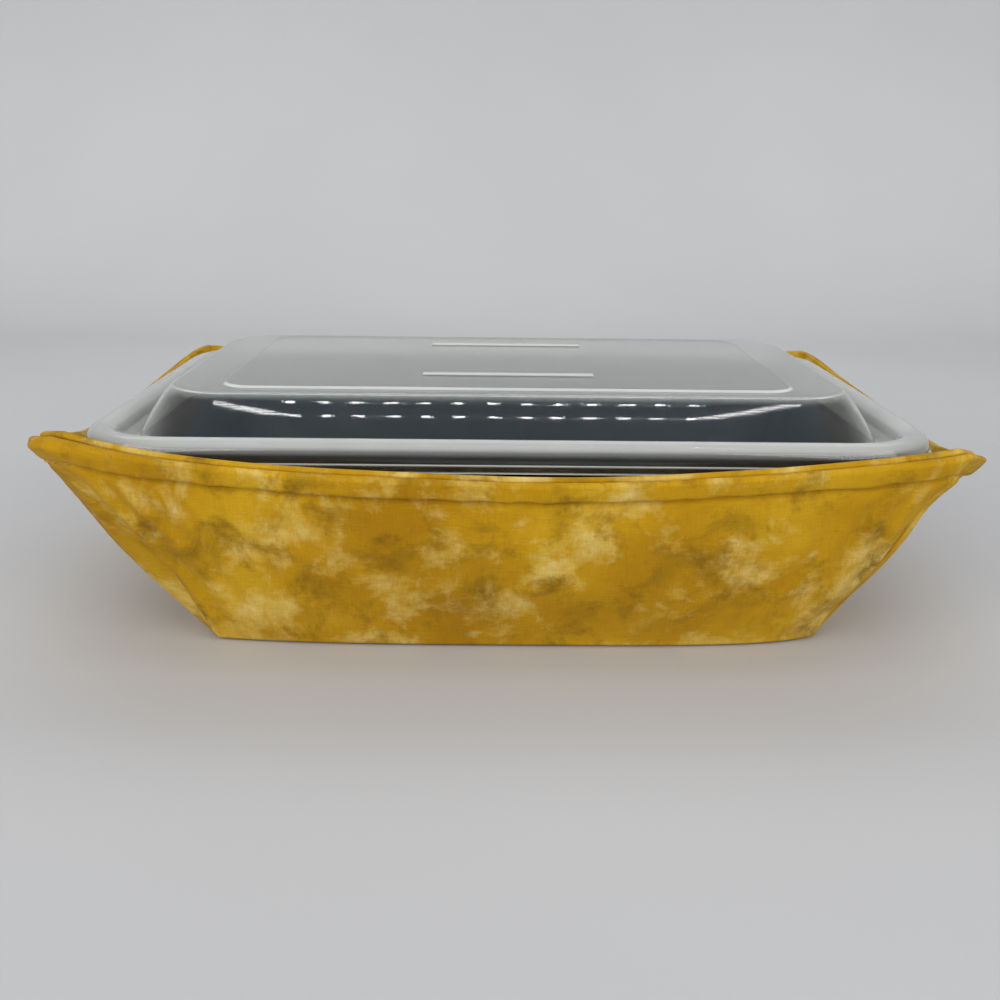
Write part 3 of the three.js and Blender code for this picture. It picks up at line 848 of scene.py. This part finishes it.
lid = rounded_plate(LID_HALF, LID_CORNER_RADIUS, lid_low[2] + SKIRT_HEIGHT)
skirt_heights = (SKIRT_HEIGHT, SKIRT_HEIGHT - TRIM_EDGE, TRIM_EDGE, 0.0)
draw_border(lid, [(*LID_HALF, height) for height in skirt_heights])
select_faces(lid, lambda face: len(face.vertices) > 4)
inset, z = 0.0, lid_low[2] + SKIRT_HEIGHT
for next_inset, next_z in bead_profile():
    bpy.ops.mesh.inset(thickness=next_inset - inset, depth=next_z - z)
    inset, z = next_inset, next_z
stop_editing()
remove_plates(lid, lid_high[2])
dome_steps = dome_outlines(z)
dome = raised_plate(dome_steps, DOME_CORNER_RADIUS, open_top=True)
panel = raised_plate(panel_outlines(*dome_steps[-1]), PANEL_RADIUS, open_top=False)
only(lid)
dome.select_set(True)
panel.select_set(True)
bpy.ops.object.join()
bridge_at(lid, z)
bridge_at(lid, dome_steps[-1][2])
select_whole(lid)
bpy.ops.mesh.normals_make_consistent(inside=False)
stop_editing()
apply_modifier(lid, "SOLIDIFY", thickness=LID_WALL, offset=-1, use_even_offset=True)
panel_top = max(vertex.co.z for vertex in lid.data.vertices)
for side in (-1, 1):
    bar = stacking_bar(side * BAR_OFFSET, panel_top)
    apply_modifier(lid, "BOOLEAN", operation="UNION", solver="EXACT", object=bar)
    bpy.data.objects.remove(bar)
apply_modifier(lid, "BEVEL", width=EDGE_ROUNDING, segments=2, limit_method="ANGLE", angle_limit=SHARP_ANGLE)
bpy.ops.object.shade_smooth_by_angle(angle=SMOOTH_ANGLE)
apply_modifier(lid, "WEIGHTED_NORMAL", weight=100, keep_sharp=True)
finish_piece(lid, "clear_lid", "lid", "lid_plastic", "lid")
lid_top = max(vertex.co.z for vertex in lid.data.vertices)
print("lid top in mm:", round(lid_top / MM, 2), "and the solid's:", round(lid_high[2] / MM, 2))

# %% [markdown]
# ## Materials
# Each finish is a small node tree on a Principled shader. The helpers below add nodes and link them, so that
# each material reads as a recipe. Most finishes are two close tones that a noise texture mixes.

# %% Material helpers
COLOUR_A, COLOUR_B, COLOUR_RESULT = 6, 7, 2
TONE_STOPS = (0.3, 0.7)


def new_material(name):
    material = bpy.data.materials.new(name)
    material.use_nodes = True
    shader = material.node_tree.nodes["Principled BSDF"]
    return material, shader


def set_inputs(node, **inputs):
    for key, value in inputs.items():
        node.inputs[key.replace("_", " ")].default_value = value


def add_node(owner, kind, **inputs):
    node = owner.node_tree.nodes.new(kind)
    set_inputs(node, **inputs)
    return node


def link(owner, source, target):
    owner.node_tree.links.new(source, target)


def own_place(material):
    """Where a point lies on its piece."""
    return add_node(material, "ShaderNodeTexCoord").outputs["Object"]


def noise_on(material, place, **inputs):
    texture = add_node(material, "ShaderNodeTexNoise", **inputs)
    link(material, place, texture.inputs["Vector"])
    return texture.outputs["Fac"]


def map_range(owner, value, **limits):
    ranged = add_node(owner, "ShaderNodeMapRange", **limits)
    link(owner, value, ranged.inputs["Value"])
    return ranged.outputs["Result"]


def colour_ramp(material, factor, *stops):
    ramp = add_node(material, "ShaderNodeValToRGB")
    while len(ramp.color_ramp.elements) < len(stops):
        ramp.color_ramp.elements.new(0.5)
    for element, (position, colour) in zip(ramp.color_ramp.elements, stops):
        element.position = position
        element.color = (*colour, 1)
    link(material, factor, ramp.inputs["Fac"])
    return ramp.outputs["Color"]


def two_tone(material, factor, tones):
    return colour_ramp(material, factor, *zip(TONE_STOPS, tones))


def mix_node(material, way, under, over):
    """A node that mixes two colours. Other sockets share their names, so numbers pick its colours."""
    blend = add_node(material, "ShaderNodeMix")
    blend.data_type = "RGBA"
    blend.blend_type = way
    link(material, under, blend.inputs[COLOUR_A])
    link(material, over, blend.inputs[COLOUR_B])
    return blend


def blend_colour(material, factor, under, over):
    blend = mix_node(material, "MIX", under, over)
    link(material, factor, blend.inputs["Factor"])
    return blend.outputs[COLOUR_RESULT]


def add_bump(material, shader, height, **inputs):
    bump = add_node(material, "ShaderNodeBump", **inputs)
    link(material, height, bump.inputs["Height"])
    link(material, bump.outputs["Normal"], shader.inputs["Normal"])


def srgb(red, green, blue):
    """A colour as a painter reads it, 0 to 255, turned into the linear light that shaders use."""
    shares = (red / 255, green / 255, blue / 255)
    return tuple(s / 12.92 if s <= 0.04045 else ((s + 0.055) / 1.055) ** 2.4 for s in shares)


def dress(piece, material):
    piece.data.materials.clear()
    piece.data.materials.append(material)
    print(piece.name, "wears", material.name)


# %% [markdown]
# ## Printed cotton
# The print is a mottled, dyed look: a deep mustard ground with paler and browner clouds of several sizes.
# Noise textures with many octaves give clouds without a motif and with speckled edges. The weave is two
# crossing sets of noise drawn out along the threads, used for a slight bump and for the light and dark grain
# of the yarn.

# %% Cotton
THREAD_SPACING = 0.34 * MM
SLUB = 0.06
GROUND_TONES = (srgb(158, 114, 3), srgb(176, 133, 10), srgb(191, 151, 26))
GROUND_STOPS = (0.36, 0.5, 0.64)
GROUND_SIZE = 52 * MM
PALE_TONES = (srgb(204, 174, 74), srgb(222, 203, 134))
PALE_STOPS = (0.5, 0.72)
PALE_SIZE = 24 * MM
PALE_SPECK = 8 * MM
BROWN_TONES = (srgb(114, 82, 5), srgb(144, 108, 11))
BROWN_STOPS = (0.5, 0.66)
BROWN_MOST = 0.95
BROWN_SIZE = 15 * MM
BROWN_SPECK = 9 * MM


def printed_cotton(name, shift, brightness):
    material, shader = new_material(name)
    cloth = add_node(material, "ShaderNodeUVMap")
    cloth.uv_map = "cloth"

    def on_cloth(**changes):
        mapping = add_node(material, "ShaderNodeMapping", **changes)
        link(material, cloth.outputs["UV"], mapping.inputs["Vector"])
        return mapping.outputs["Vector"]

    print_place = on_cloth(Location=(shift, shift * 0.6, 0))

    def clouds(size, **form):
        return noise_on(material, print_place, Scale=1 / size, **form)

    def specks(size, tones):
        return two_tone(material, clouds(size, Detail=3, Roughness=0.5, Distortion=0.2), lit(tones))

    def lit(tones):
        return [tuple(part * brightness for part in tone) for tone in tones]

    def share(factor, stops, most):
        return colour_ramp(material, factor, (stops[0], (0, 0, 0)), (stops[1], (most, most, most)))

    ground_clouds = clouds(GROUND_SIZE, Detail=7, Roughness=0.6, Distortion=0.2)
    ground = colour_ramp(material, ground_clouds, *zip(GROUND_STOPS, lit(GROUND_TONES)))
    pale_clouds = clouds(PALE_SIZE, Detail=9, Roughness=0.68, Distortion=0.3)
    brown_clouds = clouds(BROWN_SIZE, Detail=9, Roughness=0.7, Distortion=0.3)
    pale_share = share(pale_clouds, PALE_STOPS, 1)
    brown_share = share(brown_clouds, BROWN_STOPS, BROWN_MOST)
    mottled = blend_colour(material, pale_share, ground, specks(PALE_SPECK, PALE_TONES))
    mottled = blend_colour(material, brown_share, mottled, specks(BROWN_SPECK, BROWN_TONES))

    crossing = add_node(material, "ShaderNodeMath")
    crossing.operation = "ADD"
    for number, stretch in enumerate(((1, SLUB, 1), (SLUB, 1, 1))):
        yarn = noise_on(material, on_cloth(Scale=stretch), Scale=1 / THREAD_SPACING, Detail=2, Roughness=0.6)
        link(material, yarn, crossing.inputs[number])
    weave = crossing.outputs["Value"]
    grain = map_range(material, weave, From_Min=0.7, From_Max=1.3, To_Min=0.88, To_Max=1.08)
    woven = mix_node(material, "MULTIPLY", mottled, grain)
    set_inputs(woven, Factor=1)
    link(material, woven.outputs[COLOUR_RESULT], shader.inputs["Base Color"])
    add_bump(material, shader, weave, Strength=0.35, Distance=0.12 * MM)
    set_inputs(shader, Roughness=0.88, Specular_IOR_Level=0.15, Sheen_Weight=0.03, Sheen_Roughness=0.5)
    return material


dress(cover, printed_cotton("cover_cotton", shift=0.0, brightness=1.04))
dress(lining, printed_cotton("lining_cotton", shift=0.37, brightness=1.06))

# %% [markdown]
# ## Thread
# Sewing thread is two plies twisted together. Waves that run across the stitch give the twist, and a slow
# noise makes some stitches a little lighter.

# %% Thread
THREAD_TONES = (srgb(150, 108, 24), srgb(192, 150, 60))


def sewing_thread():
    material, shader = new_material("gold_thread")
    place = own_place(material)
    uneven = noise_on(material, place, Scale=220, Detail=3)
    link(material, two_tone(material, uneven, THREAD_TONES), shader.inputs["Base Color"])
    twist = add_node(material, "ShaderNodeTexWave", Scale=700, Distortion=0.6)
    twist.bands_direction = "DIAGONAL"
    link(material, place, twist.inputs["Vector"])
    add_bump(material, shader, twist.outputs["Fac"], Strength=0.5, Distance=0.08 * MM)
    set_inputs(shader, Roughness=0.6)
    return material


thread = sewing_thread()
for row in (needle_row, bobbin_row):
    dress(row, thread)

# %% [markdown]
# ## Black and clear plastic
# The tray is black polypropylene with a satin sheen and faint mould texture. The lid is a clear sheet that is
# slightly hazy: nearly all the light goes through and a little is scattered. It is cloudier at its ends. Each
# vertex stores this haze together with painted light: a pale painted sheen on the bead's top, the dome's
# shoulder and its flat tops, and painted highlights along the cut edges, the panel's step and the bars. The
# material reads it and lets less light through there, so the pale base colour shows. Handling leaves faint
# smears in its gloss.

# %% Plastics
TRAY_TONES = (srgb(10, 14, 20), srgb(17, 22, 30))
LID_TONES = (srgb(234, 236, 232), srgb(242, 243, 239))
HAZE = 0.008
# From here on, raised values paint light into the haze: a painted sheen on the bead, shoulder and tops, and
# painted highlights on the edges, step and bars.
BEAD_PAINTED_SHEEN = 0.47
BEAD_SHEEN_GROWS = (-3.2 * MM, -1.4 * MM)
END_HAZE = 0.36
END_HAZE_GROWS = (0.78, 0.95)
SHOULDER_PAINTED_SHEEN = 0.22
SHOULDER_SHEEN_GROWS = (-1.5 * MM, 0)
TOP_PAINTED_SHEEN = 0.12
TOP_BAND = 0.02 * MM
PANEL_HAZE_AND_SHEEN = 0.07
PANEL_BAND = 0.05 * MM
EDGE_PAINTED_HIGHLIGHT = 0.6
EDGE_HIGHLIGHT_FADES = (0.78, 0.88)
EDGE_BAND = 0.6 * TRIM_EDGE
STEP_BAND = 0.4 * PANEL_RISE
BAR_FOOT = 0.1 * MM


def lid_inset(places):
    """How far in from the lid's rounded outline each place lies."""
    over = np.abs(places[:, :2]) - (np.array(LID_HALF) - LID_CORNER_RADIUS)
    beyond = np.linalg.norm(np.maximum(over, 0), axis=1)
    return LID_CORNER_RADIUS - beyond - np.minimum(np.max(over, axis=1), 0)


def lay_haze_and_sheen(piece):
    """Stores the sheet's haze, most towards its ends, and painted light: a painted sheen on the bead's top, the
    shoulder and the tops, and painted highlights at the cut edge, the panel's step and the bars.
    """
    places = read_vertices(piece, "co")
    z = places[:, 2]
    inset = lid_inset(places)
    to_end = np.abs(places[:, 0]) / LID_HALF[0]
    foot = lid_low[2] + SKIRT_HEIGHT
    over_bead = z - (foot + BEAD_HEIGHT)
    over_slope = z - (foot + VALLEY_LIFT + DOME_HEIGHT)
    over_shoulder = z - (panel_top - PANEL_RISE)
    on_bead = inset < LID_LEDGE + BEAD_WIDTH
    on_ledge = (inset < LID_LEDGE / 2) & (np.abs(z - foot) < EDGE_BAND)
    on_trim = on_ledge | (z < lid_low[2] + EDGE_BAND)
    haze_and_sheen = HAZE + END_HAZE * smooth_step(*END_HAZE_GROWS, to_end)
    # A painted sheen on the bead's upper half, and a painted sheen over the dome's shoulder.
    bead_sheen = mix(HAZE, BEAD_PAINTED_SHEEN, smooth_step(*BEAD_SHEEN_GROWS, over_bead))
    shoulder_haze_and_sheen = mix(haze_and_sheen, SHOULDER_PAINTED_SHEEN, smooth_step(*SHOULDER_SHEEN_GROWS, over_slope))
    haze_and_sheen = np.where(on_bead, np.maximum(haze_and_sheen, bead_sheen), shoulder_haze_and_sheen)
    # Painted highlights on the cut edges, the panel's step and the bars; a painted sheen on the flat margin,
    # and haze with some painted sheen on the panel top.
    haze_and_sheen = np.where(on_trim, mix(EDGE_PAINTED_HIGHLIGHT, haze_and_sheen, smooth_step(*EDGE_HIGHLIGHT_FADES, to_end)), haze_and_sheen)
    haze_and_sheen = np.where(np.abs(over_shoulder) < TOP_BAND, TOP_PAINTED_SHEEN, haze_and_sheen)
    haze_and_sheen = np.where(np.abs(over_shoulder - PANEL_RISE / 2) < STEP_BAND, EDGE_PAINTED_HIGHLIGHT, haze_and_sheen)
    haze_and_sheen = np.where(np.abs(z - panel_top) < PANEL_BAND, PANEL_HAZE_AND_SHEEN, haze_and_sheen)
    haze_and_sheen = np.where(z > panel_top + BAR_FOOT, EDGE_PAINTED_HIGHLIGHT, haze_and_sheen)
    piece.data.attributes.new("haze_and_sheen", "FLOAT", "POINT").data.foreach_set("value", haze_and_sheen)
    print("haze from", round(haze_and_sheen.min(), 3), "to", round(haze_and_sheen.max(), 3))


def black_plastic():
    material, shader = new_material("black_polypropylene")
    place = own_place(material)
    cloudy = noise_on(material, place, Scale=60, Detail=4)
    link(material, two_tone(material, cloudy, TRAY_TONES), shader.inputs["Base Color"])
    link(material, map_range(material, cloudy, To_Min=0.34, To_Max=0.5), shader.inputs["Roughness"])
    grain = noise_on(material, place, Scale=1800, Detail=2)
    add_bump(material, shader, grain, Strength=0.08, Distance=0.05 * MM)
    set_inputs(shader, Specular_IOR_Level=0.35)
    return material


def clear_plastic():
    material, shader = new_material("clear_polypropylene")
    place = own_place(material)
    smear = noise_on(material, place, Scale=38, Detail=5, Distortion=0.8)
    link(material, two_tone(material, smear, LID_TONES), shader.inputs["Base Color"])
    link(material, map_range(material, smear, To_Min=0.02, To_Max=0.06), shader.inputs["Roughness"])
    ripple = noise_on(material, place, Scale=26, Detail=1)
    add_bump(material, shader, ripple, Strength=0.05, Distance=1 * MM)
    # The stored haze carries painted sheen and painted highlights: where it is high, less light goes through
    # and the pale base colour shows.
    haze_and_sheen = add_node(material, "ShaderNodeAttribute")
    haze_and_sheen.attribute_name = "haze_and_sheen"
    clear = map_range(material, haze_and_sheen.outputs["Fac"], To_Min=1.0, To_Max=0.0)
    link(material, clear, shader.inputs["Transmission Weight"])
    set_inputs(shader, IOR=1.49)
    return material


dress(tray, black_plastic())
dress(lid, clear_plastic())
lay_haze_and_sheen(lid)

# %% [markdown]
# ## Floor and light
# The cozy stands on a plain pale floor that sweeps up behind it. Soft light comes from two large low lamps at
# the front's sides, weaker ones behind and overhead, and a grey surround. A clear lid shows its shape by what
# it mirrors: the lamp behind adds to the pale sheen that is painted into the lid's haze on its bead and
# shoulder, a dim cool card above the front turns the dome's dark slope slightly blue, and two rows of small
# lamps give it lines of bright dashes, which end in a slanting streak.

# %% Stage and light
FLOOR_SIZE = 3.0
FLOOR_GAP = 0.02 * MM
BACK_WALL_AT = 0.75
SWEEP_RADIUS = 0.25
SWEEP_SEGMENTS = 16
EDGE_SLACK = 10 * MM
PAPER_TONES = (srgb(187, 187, 188), srgb(193, 193, 194))
LAMP_AIM = (0, 0, 0.03)
WHITE = (1, 1, 1)
COOL_BLUE = (0.1, 0.5, 1)
LAMP_HEIGHT = 1.5
DASHES = 13
DASH_PITCH = 0.05
DASH_SIZE = (0.013, 0.017)
DASH_POWER = 0.036
DASH_ROWS = (-0.39, -0.19)
STREAK_ACROSS = (0.44, 0.33)
STREAK_BACK = (-0.17, -0.37)
STREAK_STEPS = 7
STREAK_SIZE = (0.04, 0.009)
STREAK_POWER = 0.045
SURROUND_LOW = 0.25
SURROUND_HIGH = 0.3


def floor_with_sweep():
    clear_selection()
    place = (0, BACK_WALL_AT - FLOOR_SIZE / 2, -FLOOR_GAP)
    bpy.ops.mesh.primitive_plane_add(size=FLOOR_SIZE, location=place)
    bpy.ops.object.transform_apply(location=True)
    stage = bpy.context.object
    stage.name = "floor"
    select_edges(stage, lambda end: end.y > BACK_WALL_AT - EDGE_SLACK)
    bpy.ops.mesh.extrude_edges_move()
    bpy.ops.transform.translate(value=(0, 0, FLOOR_SIZE / 2))
    stop_editing()
    select_edges(stage, lambda end: abs(end.y - BACK_WALL_AT) < EDGE_SLACK and end.z < EDGE_SLACK)
    bpy.ops.mesh.bevel(offset=SWEEP_RADIUS, segments=SWEEP_SEGMENTS, affect="EDGES")
    stop_editing()
    bpy.ops.object.shade_smooth()
    return stage


def paper():
    material, shader = new_material("pale_paper")
    cloudy = noise_on(material, own_place(material), Scale=3, Detail=3)
    link(material, two_tone(material, cloudy, PAPER_TONES), shader.inputs["Base Color"])
    set_inputs(shader, Roughness=0.8)
    return material


def lamp(name, place, size, power, aim=LAMP_AIM, colour=WHITE):
    data = bpy.data.lights.new(name, "AREA")
    data.shape = "RECTANGLE"
    data.size, data.size_y = size
    data.energy = power
    data.color = colour
    item = bpy.data.objects.new(name, data)
    item.location = place
    item.rotation_euler = (Vector(aim) - Vector(place)).to_track_quat("-Z", "Y").to_euler()
    bpy.context.scene.collection.objects.link(item)


def small_lamp(name, across, back, size, power):
    """A lamp that looks straight down, for the bright marks on the lid."""
    lamp(name, (across, back, LAMP_HEIGHT), size, power, aim=(across, back, 0))


def soft_surround():
    """A grey surround that is brighter overhead, as in a room with a pale ceiling."""
    world = bpy.data.worlds.new("soft_surround")
    world.use_nodes = True
    where = add_node(world, "ShaderNodeTexCoord")
    split = add_node(world, "ShaderNodeSeparateXYZ")
    link(world, where.outputs["Generated"], split.inputs["Vector"])
    rise = map_range(world, split.outputs["Z"], To_Min=SURROUND_LOW, To_Max=SURROUND_HIGH)
    link(world, rise, world.node_tree.nodes["Background"].inputs["Color"])
    return world


floor = floor_with_sweep()
dress(floor, paper())
lamp("left_softbox", place=(-1.0, -1.05, 0.6), size=(1.4, 1.1), power=16)
lamp("right_softbox", place=(1.0, -1.05, 0.6), size=(1.4, 1.1), power=14)
lamp("back_softbox", place=(0, 0.6, 0.85), size=(1.5, 0.6), power=3.5)
lamp("overhead_softbox", place=(0, 0.4, 1.6), size=(1.3, 0.6), power=1.2)
lamp("cool_card", place=(0, -0.3, 1.7), size=(1.8, 0.9), power=1.0, aim=(0, -0.3, 0), colour=COOL_BLUE)
for row_at in DASH_ROWS:
    for number in range(DASHES):
        small_lamp("small_lamp", (number - (DASHES - 1) / 2) * DASH_PITCH, row_at, DASH_SIZE, DASH_POWER)
for side in (-1, 1):
    for share in np.linspace(0, 1, STREAK_STEPS):
        across = side * mix(*STREAK_ACROSS, share)
        small_lamp("streak_lamp", across, mix(*STREAK_BACK, share), STREAK_SIZE, STREAK_POWER)
bpy.context.scene.world = soft_surround()
bpy.context.scene.view_settings.view_transform = "Standard"
print(len(bpy.data.lights), "lamps")
